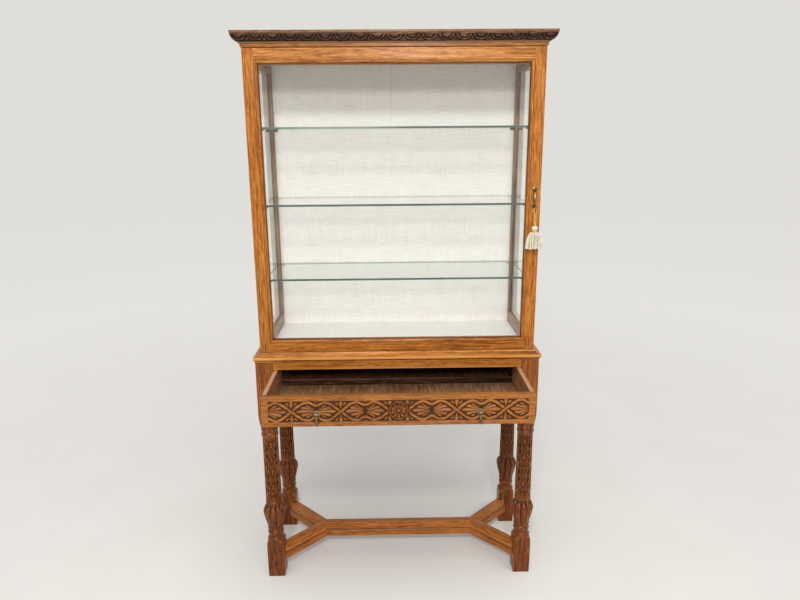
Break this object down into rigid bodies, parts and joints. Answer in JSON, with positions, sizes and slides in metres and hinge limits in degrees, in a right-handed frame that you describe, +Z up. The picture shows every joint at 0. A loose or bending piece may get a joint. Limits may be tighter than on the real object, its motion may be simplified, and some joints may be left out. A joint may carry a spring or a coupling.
{
  "type": "display cabinet",
  "caption": "Glazed oak display cabinet with carved cornice, linen-lined case and glass shelves on a turned-leg stand with a carved frieze drawer",
  "frame": {"origin": "On the floor, under the middle of the box round the cabinet with its drawer pulled out as shown.", "axes": "+Z is up, the glazed front faces -Y, and the door's hinges are at -X."},
  "size_m": [0.9114, 0.5966, 1.7405],
  "materials": {
    "honey_oak": "waxed",
    "dark_oak": "waxed, darkened",
    "carved_oak": "carved, dark ground",
    "plain_oak": "unpolished",
    "window_glass": "clear",
    "shelf_glass": "clear, green edge",
    "linen": "slubbed weave",
    "brass": "aged",
    "silk_cord": "twisted",
    "silk_tassel": "fringed"
  },
  "bodies": {
    "cabinet": {"front_left_leg": "dark_oak", "front_right_leg": "dark_oak", "rear_left_leg": "dark_oak", "rear_right_leg": "dark_oak", "centre_stretcher": "dark_oak", "stretcher_arms": "dark_oak", "frieze_top_rail": "honey_oak", "frieze_bottom_rail": "honey_oak", "left_side_rail": "honey_oak", "right_side_rail": "honey_oak", "back_rail": "honey_oak", "drawer_runners": "plain_oak", "waist_moulding_front": "honey_oak", "waist_moulding_returns": "honey_oak", "waist_back_rail": "honey_oak", "waist_dust_panel": "plain_oak", "front_left_post": "honey_oak", "front_right_post": "honey_oak", "rear_left_post": "honey_oak", "rear_right_post": "honey_oak", "case_side_rails": "honey_oak", "case_cross_rails": "honey_oak", "left_side_glass": "window_glass", "right_side_glass": "window_glass", "side_glazing_beads": "honey_oak", "back_panel": "plain_oak", "back_lining": "linen", "case_floor": "plain_oak", "floor_lining": "linen", "top_shelf": "shelf_glass", "middle_shelf": "shelf_glass", "bottom_shelf": "shelf_glass", "shelf_pegs": "brass", "case_top": "honey_oak", "cornice_front": "carved_oak", "cornice_returns": "carved_oak", "case_hinge_leaves": "brass", "lock_staple": "brass"},
    "door": {"door_left_stile": "honey_oak", "door_right_stile": "honey_oak", "door_top_rail": "honey_oak", "door_bottom_rail": "honey_oak", "door_glass": "window_glass", "door_glazing_beads": "honey_oak", "door_hinge_leaves": "brass", "lock_case": "brass", "key_escutcheon": "brass", "door_pull_plate": "brass"},
    "lock_bolt": {"lock_bolt": "brass"},
    "key": {"door_key": "brass"},
    "tassel": {"key_cord": "silk_cord", "tassel": "silk_tassel"},
    "door_drop": {"door_pull_drop": "brass"},
    "drawer": {"drawer_front": "honey_oak", "drawer_sides": "plain_oak", "drawer_back": "plain_oak", "drawer_bottom": "plain_oak", "drawer_pull_plates": "brass"},
    "left_drop": {"left_drawer_drop": "brass"},
    "right_drop": {"right_drawer_drop": "brass"}
  },
  "joints": [
    {"name": "door_hinge", "type": "hinge", "parent": "cabinet", "child": "door", "pos_m": [-0.43, -0.0269, 1.25], "axis": [0, 0, -1], "range_deg": [0, 170]},
    {"name": "door_drop_swing", "type": "hinge", "parent": "door", "child": "door_drop", "pos_m": [0.4112, -0.05815, 1.301], "axis": [-1, 0, 0], "range_deg": [0, 85]},
    {"name": "key_turn", "type": "hinge", "parent": "door", "child": "key", "pos_m": [0.4112, -0.04915, 1.25], "axis": [0, 1, 0], "range_deg": [0, 90]},
    {"name": "bolt_slide", "type": "slide", "parent": "door", "child": "lock_bolt", "axis": [0, 0, 1], "range_m": [0, 0.00801]},
    {"name": "tassel_hang", "type": "hinge", "parent": "key", "child": "tassel", "pos_m": [0.4112, -0.07165, 1.2435], "axis": [0, 1, 0], "range_deg": [-90.1, 0]},
    {"name": "drawer_slide", "type": "slide", "parent": "cabinet", "child": "drawer", "axis": [0, -1, 0], "range_m": [-0.217, 0.03]},
    {"name": "left_drop_swing", "type": "hinge", "parent": "drawer", "child": "left_drop", "pos_m": [-0.2325, -0.29215, 0.6975], "axis": [-1, 0, 0], "range_deg": [0, 85]},
    {"name": "right_drop_swing", "type": "hinge", "parent": "drawer", "child": "right_drop", "pos_m": [0.2325, -0.29215, 0.6975], "axis": [-1, 0, 0], "range_deg": [0, 85]}
  ],
  "couplings": [
    {"joint": "bolt_slide", "follows": "key_turn", "m_per_rad": 0.005093},
    {"joint": "tassel_hang", "follows": "key_turn", "ratio": -1}
  ]
}
